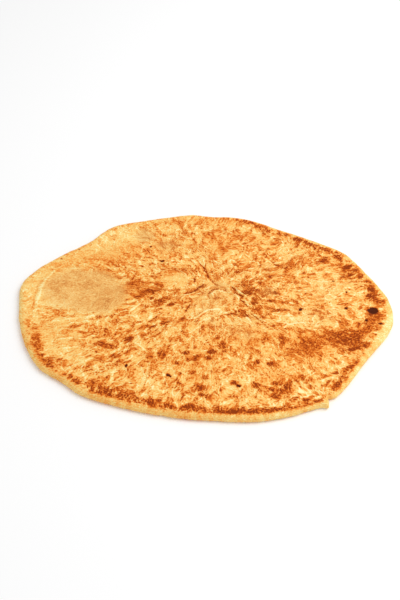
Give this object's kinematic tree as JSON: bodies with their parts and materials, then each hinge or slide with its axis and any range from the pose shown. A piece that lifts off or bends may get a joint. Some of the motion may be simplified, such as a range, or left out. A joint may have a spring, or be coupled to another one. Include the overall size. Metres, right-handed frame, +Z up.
{
  "type": "layered flatbread",
  "caption": "Whole pan-baked layered flatbread, an irregular oval lying flat, with a puffed edge and a pleated off-centre gather.",
  "frame": {"origin": "centre of the bread's box, on the surface that it lies on", "axes": "+X along the bread's longest way across, +Y towards its back edge, +Z up through its thickness"},
  "size_m": [0.25, 0.1906, 0.005],
  "materials": {
    "baked_dough": "matte"
  },
  "bodies": {
    "root": {"flatbread": "baked_dough"}
  },
  "joints": []
}
